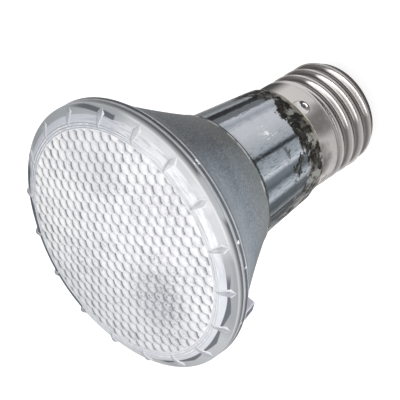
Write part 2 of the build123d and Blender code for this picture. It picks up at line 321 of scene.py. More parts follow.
def grey_paint(f, where):
    """Metallic grey spray paint: flake and mottle from two noises, pale flake specks of painted sparkle,
    lighter on one side as painted light, browner towards the neck, with painted glints along the foot, a dark
    band of painted shade under the rim corner and a darker rim face, between pale corners and glints of
    painted highlight."""
    x, y, z = f.axes(where)
    z = z / MM
    flake = f.noise(where, 2000.0, 2.0, 0.8)
    mottle = f.noise(where, 260.0, 4.0)
    # Painted light: the paint is lighter on one side, more so towards the rim.
    lit_side = ((-0.35 * x - 0.94 * y) / length(x, y)).step(0.72, 1.0)
    low = z.fade(49.0, 64.0) * (0.6 + 0.8 * mottle)
    tone = f.node("ValToRGB", {"stops": [
        (0.28, (0.03, 0.036, 0.044)), (0.5, (0.096, 0.11, 0.126)), (0.83, (0.25, 0.29, 0.335)),
        (1.0, (0.36, 0.395, 0.44))]},
        {0: 0.3 * mottle + 1.1 * flake - 0.2 + lit_side * (0.33 + 0.16 * z.step(62.0, 70.0))})
    tone = f.mix(0.45 * low, tone, (0.19, 0.19, 0.155))
    # Painted sparkle: pale specks on the flakes.
    tone = f.mix(0.6 * flake.step(0.66, 0.76), tone, (0.72, 0.73, 0.75))
    # Painted glints: a pale, broken line along the foot of the cone.
    wear_and_glint = z.fade(neck_top_z + 0.15, neck_top_z + 0.5) * mottle.step(0.48, 0.56)
    tone = f.mix(0.75 * wear_and_glint, tone, (0.66, 0.67, 0.68))
    # Painted shade: a dark band under the rim corner; the rim face is drawn darker too.
    groove_shade = z.step(rim_z - 1.7, rim_z - 1.4) * z.fade(rim_z - 0.9, rim_z - 0.7)
    face = z.step(rim_z + 0.02, rim_z + 0.14)
    tone = f.mix((0.5 * groove_shade).most(0.8 * face), tone, (0.07, 0.078, 0.09))
    # Painted highlights: pale lines on the rim's back corner and at the seam, and glints along the rim.
    rim = z.step(rim_z - 0.75, rim_z - 0.55)
    corner = (rim * (1.0 - face)).most(0.72 * z.step(seam_z - 0.4, seam_z - 0.28))
    tone = f.mix(corner * (0.62 + 0.38 * mottle.step(0.35, 0.6)), tone, (0.62, 0.63, 0.66))
    glint = rim * f.noise(where, 420.0, 2.0).step(0.68, 0.71)
    tone = f.mix(0.85 * glint, tone, (0.95, 0.95, 0.96))
    return f.principled(tone, 0.36 + 0.16 * mottle, {
        "Metallic": 0.3, "Specular IOR Level": 0.25, "Normal": f.bump(flake, 0.25, 0.00008)})


def cell_axes(x, y):
    """A place on the lens along and across the rows of cells, in cell widths; x and y are in millimetres."""
    turn = radians(lens_turn)
    return (x * cos(turn) + y * sin(turn)) / cell_pitch, (y * cos(turn) - x * sin(turn)) / cell_pitch


def cell_offset(f, x, y):
    """Way from the nearest cell centre, along and across the rows, in cell widths, and each cell's own number
    from 0 to 1. Even and odd rows are wrapped to their own centres, and the nearer centre holds."""
    u, v = cell_axes(x, y)
    u1, v1 = u.wrap(-0.5, 0.5), v.wrap(-cell_row, cell_row)
    u2, v2 = (u - 0.5).wrap(-0.5, 0.5), (v - cell_row).wrap(-cell_row, cell_row)
    near = (u1 * u1 + v1 * v1).math("LESS_THAN", u2 * u2 + v2 * v2)
    along, across = near * u1 + (1.0 - near) * u2, near * v1 + (1.0 - near) * v2
    cell = f.vector((2.0 * (u - along)).math("ROUND"), ((v - across) / cell_row).math("ROUND"))
    return along, across, f.node("TexWhiteNoise", None, {"Vector": cell})


def from_rib(angle):
    """Way round from the nearest rib, in radians."""
    return (angle - radians(lens_turn)).wrap(-rib_pace / 2, rib_pace / 2)


def rib_share(angle, radius):
    """1 on the ridge of a rib, 0 at its outline, below 0 beside it; the outline widens from the shelf out to
    its tip and then closes. Sizes are in millimetres."""
    aside = (from_rib(angle) * radius).math("ABSOLUTE")
    along = ((radius - rib_start) / (rib_tip - rib_start)).least((rib_end - radius) / (rib_end - rib_tip))
    return 1.0 - aside / (rib_width / 2 * along.most(0.0) + 0.001)


def lens_finish():
    """Pressed glass, slightly milky, its tone carrying painted light and shade. A cell darkens with the way
    from its centre towards two sides, as painted shade, with dots and pits from its own number and noise.
    Round the cells lie a shelf with turned lines, a bevel, pale on one side as painted light and grey with
    dark arcs of painted shade elsewhere, pale ribs with outlines of painted highlight, a dark side band and a
    dark strip of painted shade on the far bevel."""
    f = new_finish("pressed_lens_glass")
    where = f.place()
    x, y, z = (part / MM for part in f.axes(where))
    radius = length(x, y)
    angle = bearing(x, y)
    towards = angle.within
    cloud = f.noise(where, 120.0, 3.0)
    fine = f.noise(where, 700.0, 3.0, 0.65)
    grain = f.noise(where, 1500.0, 2.0)

    # Cells, with painted shade: darker sides on each cell, a darker patch where the throat shows through, and
    # broad darker zones
    field = radius.fade(field_radius - 0.2, field_radius)
    along, across, each = cell_offset(f, x, y)
    away = length(along, across)
    uneven = 0.24 * (fine - 0.5)
    right = -0.5 * along - cell_row * across + uneven
    top = 0.5 * along - cell_row * across + uneven
    throat = length(x - throat_x, y - throat_y).step(2.0, 11.0)
    # Painted shade: each cell darkens towards two sides, softly and then in crescents.
    soft = right.step(0.0, 0.42).most(0.7 * top.step(0.1, 0.46)) * (0.6 + 0.6 * each)
    dark = right.step(0.27, 0.44).most(0.55 * top.step(0.34, 0.48))
    dark = dark.most(away.step(0.43, 0.55) * (0.3 - across).step(0.2, 0.7)) * (0.75 + 0.25 * each)
    other = (7.0 * each).wrap(0.0, 1.0)
    dot = (along + 0.25 - 0.5 * each) ** 2.0 + (across + 0.25 - 0.5 * other) ** 2.0 + 0.06 * uneven
    dot = dot.fade(0.004, 0.016) * each.step(0.35, 0.6) * (0.85 - 0.7 * throat)
    pits = dot.most(0.6 * grain.step(0.57, 0.68) * cloud.step(0.45, 0.62))
    outlined = (0.7 * grain.step(0.52, 0.64)).most(0.5 * away.step(0.42, 0.54))
    pits = pits.most(outlined * (1.0 - throat))
    tone = f.mix(0.3 * cloud.step(0.42, 0.75), (0.99, 0.99, 0.995), (0.62, 0.62, 0.67))
    tone = f.mix(0.25 * each * fine.step(0.4, 0.7), tone, (0.6, 0.6, 0.65))
    # Painted shade: the lens darker where the throat shows through it.
    tone = f.mix(0.5 * (1.0 - throat), tone, (0.42, 0.43, 0.47))
    # Painted shade: broad darker zones round one place, in the middle, towards the back and at the front.
    lens_shade = 0.8 * length(x - lens_shade_x, y - lens_shade_y).fade(4.0, 16.0)
    middle = 0.4 * radius.fade(8.0, 18.0)
    back = towards(145.0, 30.0, 50.0) * radius.step(4.0, 16.0)
    front = 0.35 * towards(-90.0, 40.0, 30.0) * radius.step(6.0, 18.0)
    lens_shade = lens_shade.most(middle).most(back).most(front)
    tone = f.mix(0.45 * lens_shade, tone, (0.6, 0.6, 0.66))
    # Painted shade laid on the cells, then the crescents together with outlines and pits.
    tone = f.mix(0.66 * field * soft, tone, (0.4, 0.4, 0.43))
    tone = f.mix(field * dark.most(pits), tone, (0.18, 0.185, 0.205))

    # Shelf, with dark and white turned lines
    ring = radius.step(field_radius, field_radius + 0.3)
    light = towards(light_side, 28.0, 12.0)
    # Painted light and shade: the outer part paler on the light side, greyer elsewhere and most near one
    # side.
    greyed = 0.68 - 0.44 * light + 0.3 * towards(-8.0, 44.0, 14.0)
    tone = f.mix(ring * greyed, tone, (0.56, 0.585, 0.64))
    shelf = radius.step(field_radius - 0.1, field_radius + 0.1)
    shelf = shelf * radius.fade(shelf_radius, shelf_radius + 0.3)
    lines = 0.5 + 0.5 * (radius * (2 * pi / line_pitch) + 3.0 * (cloud - 0.5)).math("SINE")
    cut = lines * (0.25 + 0.45 * towards(5.0, 50.0, 20.0)) * fine.step(0.25, 0.5)
    tone = f.mix(shelf * cut, tone, (0.2, 0.21, 0.24))
    tone = f.mix(0.6 * shelf * (1.0 - lines) * fine.step(0.4, 0.6), tone, (0.97, 0.97, 0.98))

    # Bevel: scratches before its plain part, painted light on the light side with a pale glow, painted shade
    # elsewhere, greyer on some sides, then dark arcs
    edge = bevel_line + 0.4 * towards(-65.0, 16.0, 10.0) - 0.6 * towards(178.0, 20.0, 26.0)
    outer = radius.step(edge - 0.06, edge + 0.06)
    scratch = f.noise(f.vector(7.0 * angle, 2.4 * radius), 1.0, 4.0, 0.6).step(0.5, 0.58)
    rough = ring * (1.0 - outer) * towards(-75.0, 40.0, 20.0) * scratch
    tone = f.mix(0.42 * rough, tone, (0.36, 0.37, 0.39))
    # Painted shade: the plain bevel greyer on some sides; painted light: paler on the light side, with a
    # glow.
    plain = f.mix(towards(-172.0, 20.0, 16.0), (0.34, 0.36, 0.375), (0.43, 0.44, 0.46))
    plain = f.mix(towards(-136.0, 10.0, 16.0), plain, (0.29, 0.3, 0.315))
    tone = f.mix(0.95 * outer, tone, f.mix(light, plain, (0.51, 0.515, 0.53)))
    glow = (0.3 * cloud.step(0.45, 0.6)).most(0.6 * radius.step(rim_radius - 0.7, rim_radius - 0.3))
    tone = f.mix(light * outer * glow, tone, (0.8, 0.8, 0.81))
    # Painted shade: dark arcs where the seam shows through the glass.
    past = angle * (180.0 / pi) - arc_side
    start = edge + 0.055 * past
    arc = past.step(-0.8, 0.5) * past.fade(17.0, 32.0)
    arc = arc * radius.step(start - 0.1, start + 0.1) * radius.fade(start + 0.75, start + 1.0)
    between = from_rib(angle).math("ABSOLUTE") / (rib_pace / 2)
    thick = edge + 0.25 + 0.6 * between
    arc = arc.most(towards(-166.0, 36.0, 6.0) * outer * radius.fade(thick, thick + 0.25))
    tone = f.mix(0.92 * arc, tone, (0.075, 0.085, 0.10))

    # Ribs with pale outlines of painted highlight, the side band, and a dark strip of painted shade on the
    # far bevel
    rib = rib_share(angle, radius)
    ribbed = ring * rib.step(-0.05, 0.1)
    # Painted shade: rib bodies greyer, less so on the light side.
    tone = f.mix((0.65 - 0.35 * light) * ribbed, tone, (0.48, 0.5, 0.55))
    # Painted highlight: pale outlines round the ribs.
    outline = ring * rib.step(-0.1, 0.05) * 0.8 * rib.fade(0.15, 0.4)
    tone = f.mix(outline, tone, (0.95, 0.95, 0.97))
    side = radius.step(rim_radius - 0.3, rim_radius - 0.1)
    lift = z.step(lens_z + 0.4, band_z) * (1.0 - 0.15 * towards(12.0, 45.0, 20.0))
    lift = lift.most(towards(-94.0, 7.0, 5.0))
    tone = f.mix(side, tone, f.mix(lift, (0.10, 0.105, 0.115), (0.40, 0.41, 0.43)))
    # Painted shade: a dark strip on the far bevel, laid over as a matt dark shader.
    strip = far_line - 1.2 * towards(78.0, 24.0, 12.0)
    far = towards(70.0, 34.0, 8.0) * radius.step(strip - 0.15, strip + 0.15) * (1.0 - 0.8 * ribbed)

    normal = f.bump(f.noise(where, 900.0, 2.0), 0.08, 0.0001)
    glass = f.principled((0.955, 0.96, 0.975), 0.03, {
        "IOR": glass_ior, "Transmission Weight": 1.0, "Normal": normal})
    milk = f.principled(tone, 0.12, {"IOR": glass_ior, "Normal": normal})
    milky = (0.7 + 0.1 * outer).most(0.97 * arc.most(side)) - 0.15 * ribbed
    return f.finish(f.blend(0.92 * far, f.blend(milky, glass, milk), f.dull((0.05, 0.058, 0.07))))


def wavy_glass(name, scale, colour, roughness, ior, bump, distance):
    """Clear glass of one colour whose skin follows one noise."""
    f = new_finish(name)
    wave = f.noise(f.place(), scale, 2.0)
    return f.finish(f.principled(colour, roughness, {
        "IOR": ior, "Transmission Weight": 1.0, "Normal": f.bump(wave, bump, distance)}))


def lens_inner_finish():
    """Clear inner face and foot of the lens."""
    return wavy_glass("lens_inner_glass", 500.0, (0.97, 0.975, 0.985), 0.03, glass_ior, 0.08, 0.0001)


def coat_end(f, angle, z):
    """1 where the mirror coat lies behind the neck, 0 below its lower end. The end is a height made ragged by
    two noises. It is lowest at one side, climbs with the cosine of the way round, and is level at the back.
    Worn islands lie above it on the underside."""
    height = z / MM
    round_place = f.vector(coat_radius * MM * angle.math("COSINE"), coat_radius * MM * angle.math("SINE"), z)
    climb = (4.8 * (1.0 - angle.facing(coat_side))).least(5.5)
    climb = climb * angle.math("SINE").fade(0.05, 0.6)
    ragged = height - climb + 10.0 * (f.noise(round_place, 160.0, 6.0, 0.72) - 0.5)
    ragged = ragged + 7.0 * (f.noise(round_place, 330.0, 3.0, 0.6) - 0.5)
    wear_and_glint = f.noise(round_place, 300.0, 3.0).step(0.57, 0.61) * angle.facing(-128.0).step(0.6, 0.9)
    wear_and_glint = wear_and_glint * height.fade(mirror_end_z + 5.0, mirror_end_z + 9.0)
    return ragged.step(mirror_end_z - 0.35, mirror_end_z + 0.35) * (1.0 - wear_and_glint)


def silver(level):
    """Colour of the mirror coat: bluish where dark, nearly plain where pale."""
    return (level * (0.7 + 0.26 * level), level * (0.88 + 0.06 * level), level)


def silvered_glass(f, angle, z):
    """Mirror coat seen through the neck's facets, with painted reflections: a ramp gives its levels over half
    a turn, in degrees, and repeats on the other half. Over it lie streaks along the neck, a dark underside of
    painted shade, one bright painted glint with flecks and a dark line of painted shade under the cone."""
    height = z / MM
    streak = f.noise(f.vector(angle, 7.0 * z), 12.0, 5.0, 0.65)
    hair = f.noise(f.vector(angle, 9.0 * z), 60.0, 3.0, 0.6)
    turn = angle - radians(neck_flat_turn - 90.0) + 0.06 * (streak - 0.5) + 0.1 * (hair - 0.5)
    share = turn.wrap(-pi / 2, pi / 2) / pi + 0.5
    # Painted reflections: the coat's levels round the neck, facet by facet.
    levels = [
        (-90, 0.5), (-84, 0.42), (-79, 0.02), (-73, 0.03), (-70, 0.3), (-66, 0.07), (-60, 0.1), (-56, 0.56),
        (-51, 0.42), (-47, 0.1), (-40, 0.22), (-37, 0.7), (-33, 0.45), (-24, 0.34), (-22, 0.03), (-20, 0.05),
        (-17.5, 0.5), (2, 0.72), (11, 0.74), (16, 0.46), (21, 0.72), (23, 0.2), (29, 0.18), (31, 0.012),
        (36, 0.012), (38, 0.46), (41, 0.34), (45, 0.07), (50, 0.12), (57, 0.5), (90, 0.5)]
    stops = [(0.5 + place / 180.0, silver(level)) for place, level in levels]
    tone = f.node("ValToRGB", {"stops": stops}, {0: share})
    # Painted shade: the underside of the neck darker.
    under = angle.within(-165.0, 18.0, 10.0)
    tone = f.mix(under * (0.45 + 0.53 * streak.step(0.44, 0.5)), tone, (0.012, 0.015, 0.02))
    dim = f.node("RGBToBW", None, {0: tone}).fade(0.015, 0.07)
    clear = (share - 0.52).math("ABSOLUTE").fade(0.04, 0.13)
    tone = f.mix(0.68 * hair.step(0.5, 0.66) * (1.0 - 0.8 * clear), tone, (0.10, 0.12, 0.16))
    # Painted glint: one bright spot with flecks round it.
    away = length((angle - radians(neck_glint_side)) * neck_glint_radius + 0.8 * (streak - 0.5), height - neck_glint_z)
    neck_glint = away.fade(0.4, 0.7).most(away.fade(2.0, 3.4) * hair.step(0.58, 0.64))
    tone = f.mix(neck_glint, tone, grey(1.0))
    # Painted shade: a dark line just under the cone's foot.
    shade = (height + 1.6 * (streak - 0.5)).step(neck_top_z - 2.3, neck_top_z - 1.8)
    tone = f.mix(0.9 * shade, tone, (0.015, 0.017, 0.015))
    coat = f.principled(tone, 0.16 + 0.1 * streak, {"Metallic": 0.3, "Specular IOR Level": 0.3})
    return f.blend(0.75 * dim, coat, f.dull((0.03, 0.034, 0.04)))


def reflector_outside():
    """Grey paint over the cone, down to a slightly ragged line. Below it is the mirror coat behind the neck,
    and under the coat's end glass darkened by painted shade, with paler blotches, and brown cement near the
    cap."""
    f = new_finish("reflector_outer_face")
    where = f.place()
    x, y, z = f.axes(where)
    angle = bearing(x, y)
    ragged = z + 0.00025 * (f.noise(where, 900.0, 3.0) - 0.5)
    painted = ragged.step((neck_top_z - 0.25) * MM, (neck_top_z - 0.1) * MM)
    glass = f.principled((0.93, 0.95, 0.95), 0.015, {
        "IOR": glass_ior, "Transmission Weight": 1.0, "Specular IOR Level": 0.1})
    smear = f.noise(where, 500.0, 4.0, 0.65)
    blotch = f.noise(where, 330.0, 4.0, 0.6) - 0.03 * (angle - radians(coat_side)).math("SINE")
    blotch = blotch.step(0.535, 0.62) * (1.0 - 0.7 * angle.math("SINE").step(0.05, 0.5))
    # Painted shade: the glass under the coat's end laid over with a dark layer for the dark inside, with
    # paler blotches.
    foot_shade = f.blend(blotch, f.dull((0.022, 0.021, 0.018)), f.dull((0.3, 0.3, 0.28)))
    glass = f.blend((0.2 + 0.64 * smear.step(0.41, 0.55)).most(0.8 * blotch), glass, foot_shade)
    brown = f.mix(smear, (0.12, 0.105, 0.085), (0.5, 0.46, 0.38))
    cement = f.principled(brown, 0.4 + 0.2 * smear, {})
    near = (z / MM + 4.0 * (smear - 0.5)).fade(edge_z + 0.6, edge_z + 1.2)
    glass = f.blend(0.65 * near, glass, cement)
    neck = f.blend(0.96 * coat_end(f, angle, z), glass, silvered_glass(f, angle, z))
    return f.finish(f.blend(painted, neck, grey_paint(f, where)))


def reflector_inside():
    """Mirror coat, bright in the bowl and duller in the neck, above a dark foot of painted shade with paler
    patches, more of them on one side."""
    f = new_finish("reflector_mirror_coat")
    where = f.place()
    x, y, z = f.axes(where)
    angle = bearing(x, y)
    cloud = f.noise(where, 400.0, 3.0)
    bowl = z.step((neck_top_z - 2.0) * MM, (neck_top_z + 2.0) * MM)
    coat = f.mix(bowl, (0.5, 0.51, 0.55), (0.92, 0.925, 0.94))
    mirror = f.principled(coat, 0.08 + 0.06 * cloud + 0.22 * bowl, {"Metallic": 1.0})
    patch = f.noise(where, 420.0, 5.0, 0.65) - 0.07 * (angle - radians(coat_side)).math("SINE")
    patch = patch + 0.04 * angle.facing(coat_side).step(0.6, 1.0)
    # Painted shade: the foot inside the neck dark, with paler patches.
    foot_shade = f.mix(cloud, (0.006, 0.005, 0.004), (0.035, 0.03, 0.022))
    foot_shade = f.mix(patch.step(0.55, 0.63), foot_shade, (0.42, 0.40, 0.35))
    stain_and_shade = f.principled(foot_shade, 0.3 + 0.2 * cloud, {"Specular IOR Level": 0.15})
    return f.finish(f.blend(coat_end(f, angle, z), stain_and_shade, mirror))


def nickel():
    """Warm nickel plate with drawing marks round it. Noise gives heat stains and a dark patch of painted
    reflection, the radius dark grooves of painted shade and bright crimp dents of painted highlight with dark
    outlines of painted shade. One side is darker, painted shade over the skirt there, the lip is darker as
    painted shade too, and pale yellowish cement lies at the edge."""
    f = new_finish("nickel_plate")
    where = f.place()
    x, y, z = f.axes(where)
    height = z / MM
    angle = bearing(x, y)
    radius = length(x, y) / MM
    # Painted reflection: a dark patch on the skirt at one side, joined to the stains.
    dull = angle - radians(skirt_shade_side) + 0.4 * (f.noise(where, 140.0, 4.0) - 0.5)
    dull = dull.math("ABSOLUTE").fade(0.1, 0.4)
    # Painted shade: one side of the cap darker.
    over = angle.facing(5.73).step(0.76, 0.96)
    stain_and_shade = f.noise(where, 75.0, 4.0).step(0.5, 0.66).most(dull)
    cloudy = f.noise(where, 240.0, 4.0, 0.6).step(0.46, 0.6)
    fine = f.noise(where, 1500.0, 3.0)
    marks = f.noise(f.vector(x, y, 14.0 * z), 500.0, 3.0)
    skirt = height.step(skirt_z - 0.8, skirt_z + 0.2)
    # Painted shade: the thread troughs darker.
    groove_shade = radius.fade(cap_radius - 0.8, cap_radius - 0.25) * (1.0 - skirt)
    # Painted shade: the lip at the lower end darker.
    lip = height.fade(thread_z - 0.3, thread_z + 0.9)
    whole = radius.step(cap_radius - 0.2, cap_radius - 0.1)
    bead = whole * (height + 0.4 * (fine - 0.5)).step(edge_z - 0.55, edge_z - 0.42)
    # Painted highlight: the crimp dents bright; painted shade: dark outlines round them.
    pressed = skirt * (1.0 - whole)
    outline = skirt * whole * radius.fade(cap_radius - 0.09, cap_radius - 0.04) * (1.0 - bead)
    tone = f.mix(0.8 * stain_and_shade * (0.3 + 0.7 * skirt), (0.88, 0.84, 0.82), (0.15, 0.14, 0.135))
    tone = f.mix(0.5 * cloudy * skirt * dull, tone, (0.5, 0.48, 0.46))
    tone = f.mix((0.75 * groove_shade).most(0.85 * lip).most(0.62 * over), tone, (0.16, 0.145, 0.135))
    tone = f.mix(0.8 * pressed, tone, (0.97, 0.95, 0.93))
    tone = f.mix(0.7 * outline, tone, (0.1, 0.095, 0.09))
    tone = f.mix(bead, tone, (0.82, 0.77, 0.62))
    relief = marks + 75.0 * pressed * f.noise(where, 600.0, 2.0)
    plate = f.principled(tone, 0.1 + 0.1 * stain_and_shade + 0.08 * fine + 0.3 * bead, {
        "Metallic": 1.0 - 0.85 * bead, "Normal": f.bump(relief, 0.06, 0.00008)})
    # Painted shade: a matt dark layer over the skirt on that side and over the lip.
    side_shade = 0.85 * skirt * angle.within(0.0, 22.0, 22.0) * (1.0 - bead)
    return f.finish(f.blend((0.7 * lip).most(side_shade), plate, f.dull((0.03, 0.027, 0.026))))


def plain_metal(name, colour, roughness, scale):
    """Metal with a cloudy tone and uneven gloss."""
    f = new_finish(name)
    cloud = f.noise(f.place(), scale, 4.0)
    dark = tuple(0.6 * part for part in colour)
    tone = f.mix(cloud.step(0.3, 0.75), dark, colour)
    return f.finish(f.principled(tone, roughness + 0.25 * cloud, {
        "Metallic": 1.0, "Normal": f.bump(cloud, 0.15, 0.0001)}))


def clouded(name, scale, dark, pale, roughness, spread, bump, distance):
    """Finish whose tone, gloss and skin follow one noise: paler and rougher where it is high."""
    f = new_finish(name)
    cloud = f.noise(f.place(), scale, 3.0)
    return f.finish(f.principled(f.mix(cloud, dark, pale), roughness + spread * cloud, {
        "Normal": f.bump(cloud, bump, distance)}))


def black_glass():
    """Opaque black insulator glass, glossy with a slightly wavy skin."""
    return clouded("black_insulator_glass", 350.0, (0.006, 0.006, 0.008), (0.02, 0.019, 0.022),
                   0.08, 0.12, 0.2, 0.0002)


def cement_finish():
    """Pale cement, slightly grainy."""
    return clouded("seam_cement", 2500.0, (0.34, 0.35, 0.37), (0.55, 0.56, 0.58),
                   0.45, 0.2, 0.3, 0.0001)


def bare_lug_finish():
    """Pale, smooth sides of the lug, which the spray did not reach."""
    return clouded("bare_lug_glass", 600.0, (0.6, 0.6, 0.68), (0.8, 0.8, 0.88), 0.2, 0.1, 0.0, 0.0001)


def quartz_finish():
    """Clear quartz with a faint drawn waviness."""
    return wavy_glass("clear_quartz", 300.0, (0.97, 0.97, 0.975), 0.02, 1.46, 0.1, 0.0002)


def smooth_step(t):
    """0 below 0, 1 above 1, and three squares less two cubes between."""
    t = np.clip(t, 0.0, 1.0)
    return t * t * (3 - 2 * t)


def arc_through(start, middle, end, count):
    """Points on the circle through three points of a profile, both ends kept."""
    (ax, ay), (bx, by), (cx, cy) = start, middle, end
    a2, b2, c2 = ax * ax + ay * ay, bx * bx + by * by, cx * cx + cy * cy
    d = 2 * (ax * (by - cy) + bx * (cy - ay) + cx * (ay - by))
    ux = (a2 * (by - cy) + b2 * (cy - ay) + c2 * (ay - by)) / d
    uy = (a2 * (cx - bx) + b2 * (ax - cx) + c2 * (bx - ax)) / d
    angles = np.unwrap([np.arctan2(y - uy, x - ux) for x, y in (start, middle, end)])
    a = np.linspace(angles[0], angles[2], count)
    radius = np.hypot(ax - ux, ay - uy)
    return np.stack([ux + radius * np.cos(a), uy + radius * np.sin(a)], -1)


def line_to(start, end, count):
    """Evenly spaced points on a straight stretch of a profile, both ends kept."""
    return np.linspace(start, end, count)


def joined(*stretches):
    """Profile made of stretches laid end to end, shared ends kept once."""
    return np.concatenate([stretches[0]] + [stretch[1:] for stretch in stretches[1:]])


def round_faces(rows, columns, first=0):
    """Quads between neighbouring rows of a grid that closes on itself round the axis."""
    row = np.arange(rows - 1)[:, None] * columns
    column = np.arange(columns)[None, :]
    after = (column + 1) % columns
    quads = np.stack([row + column, row + after, row + columns + after, row + columns + column], -1)
    return quads.reshape(-1, 4) + first


def fan(ring, pole, upward):
    """Triangles from a closed ring of points to one pole."""
    after = np.roll(ring, -1)
    pair = (ring, after) if upward else (after, ring)
    return np.stack([*pair, np.full(len(ring), pole)], -1)


def turned(profile, columns):
    """Grid of radii and heights: a profile repeated at every column round the axis."""
    return np.repeat(profile[:, None, :], columns, 1)


def spun(grid, angle):
    """Points of a grid of radii and heights, one column for each angle round the axis."""
    radius, z = grid[..., 0], grid[..., 1]
    return np.stack([radius * np.cos(angle), radius * np.sin(angle), z], -1).reshape(-1, 3)


def add_mesh(name, points, faces, finishes):
    """Smooth-shaded mesh object; points in millimetres, faces as lists of corners."""
    mesh = bpy.data.meshes.new(name)
    mesh.from_pydata((points * MM).tolist(), [], faces)
    for finish in finishes:
        mesh.materials.append(finish)
    mesh.polygons.foreach_set("use_smooth", np.ones(len(mesh.polygons), bool))
    thing = bpy.data.objects.new(name, mesh)
    bpy.context.scene.collection.objects.link(thing)
    return thing


def add_piece(name, points, faces, finishes, node, crease):
    """Mesh piece in place of a solid, sharp at edges over the crease angle; faces are arrays of corners."""
    piece = add_mesh(name, points, sum((group.tolist() for group in faces), []), finishes)
    piece.data.set_sharp_from_angle(angle=radians(crease))
    piece.data.update()
    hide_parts(node)
    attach(piece, "root")
    return piece


def second_finish(piece, *spans):
    """Gives the faces in some spans the piece's second finish."""
    index = np.zeros(len(piece.data.polygons), np.int32)
    for span in spans:
        index[span] = 1
    piece.data.polygons.foreach_set("material_index", index)


def dome_at(radius, top, drop, span):
    """Height of a shallow ball cap: top on the axis, drop lower at the span."""
    ball = (span * span + drop * drop) / (2 * drop)
    return top - ball + np.sqrt(ball * ball - radius * radius)


def cell_relief(x, y):
    """Bulge of the hexagonal cells: 1 at the nearest point of a triangular lattice, falling with the squared
    distance, so that neighbours meet in straight valleys."""
    u, v = cell_axes(x, y)
    nearest = np.full(x.shape, np.inf)
    for shift in (0.0, 0.5):
        rows = 2 * np.round((v / cell_row - 2 * shift) / 2) + 2 * shift
        columns = np.round(u - shift) + shift
        nearest = np.minimum(nearest, (u - columns) ** 2 + (v - rows * cell_row) ** 2)
    return 1.0 - 4.0 * nearest


def lens_surface(x, y):
    """Outer face of the lens over a point: domed field with cells, flat shelf, then the bevel with ribs. A
    rib is a leaf whose ridge leaves the shelf, runs out level and drops to a point at the rim."""
    radius = np.hypot(x, y)
    dome = dome_at(np.minimum(radius, field_radius), apex_z, lens_dome, field_radius)
    field = dome + cell_height * cell_relief(x, y) * smooth_step((field_radius - radius) / cell_fade)
    fall = radius - shelf_radius
    drop = 0.5 * (fall + np.sqrt(fall * fall + bevel_soft ** 2)) - 0.5 * bevel_soft ** 2 / bevel_width
    bevel = shelf_z - bevel_height / bevel_width * drop
    angle = np.arctan2(y, x) - radians(lens_turn)
    aside = (np.mod(angle + rib_pace / 2, rib_pace) - rib_pace / 2) * radius
    along = np.interp(radius, [rib_start, rib_tip, rib_end], [0.0, 1.0, 0.0])
    half = rib_width / 2 * along ** 0.8 + 1e-6
    crest = np.clip(1.0 - (aside / half) ** 2, 0.0, 1.0)
    return np.where(radius < field_radius, field, bevel + rib_height * along * crest)


def make_front_lens(finish, inner_finish):
    """Lens as a closed skin: a square grid pressed onto the disc of the field, rings over shelf, bevel, band
    and foot, and rings back over the inner face to a pole."""
    side = np.linspace(-1.0, 1.0, lens_grid)
    a, b = np.meshgrid(side, side, indexing="ij")
    steep = np.abs(a) > np.abs(b)
    reach = np.where(steep, a, b)
    angle = np.where(steep, pi / 4 * b / a, pi / 2 - pi / 4 * a / b)
    x = field_radius * reach * np.cos(angle)
    y = field_radius * reach * np.sin(angle)
    disc = np.stack([x, y, lens_surface(x, y)], -1).reshape(-1, 3)
    index = np.arange(lens_grid * lens_grid).reshape(lens_grid, lens_grid)
    quads = np.stack([index[:-1, :-1], index[1:, :-1], index[1:, 1:], index[:-1, 1:]], -1).reshape(-1, 4)
    loop = np.concatenate([index[:-1, 0], index[-1, :-1], index[:0:-1, -1], index[0, :0:-1]])
    heading = np.arctan2(disc[loop, 1], disc[loop, 0])

    over = np.concatenate([np.linspace(field_radius, shelf_radius, 5)[1:],
                           np.linspace(shelf_radius, rim_radius - 0.12, 15)[1:]])
    outer_x = over[:, None] * np.cos(heading)
    outer_y = over[:, None] * np.sin(heading)
    outer = np.stack([outer_x, outer_y, lens_surface(outer_x, outer_y)], -1)
    inside_top = apex_z - lens_thickness
    inner_z = float(dome_at(field_radius, inside_top, lens_dome, field_radius))
    inner_r = np.linspace(field_radius, 0.0, 9)[1:-1]
    band = np.concatenate([
        [(rim_radius, band_z - 0.02)], line_to((rim_radius, band_z - 0.1), (rim_radius, lens_z + 0.08), 5),
        [(rim_radius - 0.08, lens_z)]])
    profile = np.concatenate([
        band, line_to((bowl_radius, lens_z), (field_radius, inner_z), 3),
        np.stack([inner_r, dome_at(inner_r, inside_top, lens_dome, field_radius)], -1)])
    count = len(heading)
    under = spun(turned(profile, count), heading).reshape(-1, count, 3)
    rings = np.concatenate([outer, under])
    first = len(disc)
    ring = np.arange(count)
    link = np.stack([loop, np.roll(loop, -1), first + np.roll(ring, -1), first + ring], -1)
    pole = first + len(rings) * count
    last = first + (len(rings) - 1) * count + ring
    points = np.concatenate([disc, rings.reshape(-1, 3), [(0.0, 0.0, inside_top)]])
    faces = [quads, link[:, ::-1], round_faces(len(rings), count, first)[:, ::-1], fan(last, pole, False)]
    piece = add_piece("pressed_lens", points, faces, [finish, inner_finish], "front_lens", 60.0)
    second_finish(piece, slice(len(quads) + count * (len(outer) + len(band)), None))


def neck_radius(angle, height):
    """Radius of the faceted neck, widening with the height: the distances to its flats in a soft minimum,
    which is a sum of high powers with the root taken."""
    quarter = 360.0 / neck_flats
    narrow = (quarter - neck_flat_angle) / neck_facets
    lean = []
    for k in range(neck_flats):
        centre = neck_flat_turn + quarter * k
        lean.append((centre, neck_flat_angle / 2))
        lean += [(centre + neck_flat_angle / 2 + narrow * (j + 0.5), narrow / 2) for j in range(neck_facets)]
    power = 420
    total = np.zeros(np.broadcast(angle, height).shape)
    for centre, half in lean:
        reach = np.clip(np.cos(angle - radians(centre)), 0.0, 1.0) / cos(radians(half))
        total = total + reach ** power
    share = (height - edge_z) / neck_length
    corner = neck_radius_low + (neck_radius_high - neck_radius_low) * share
    return corner * total ** (-1 / power)


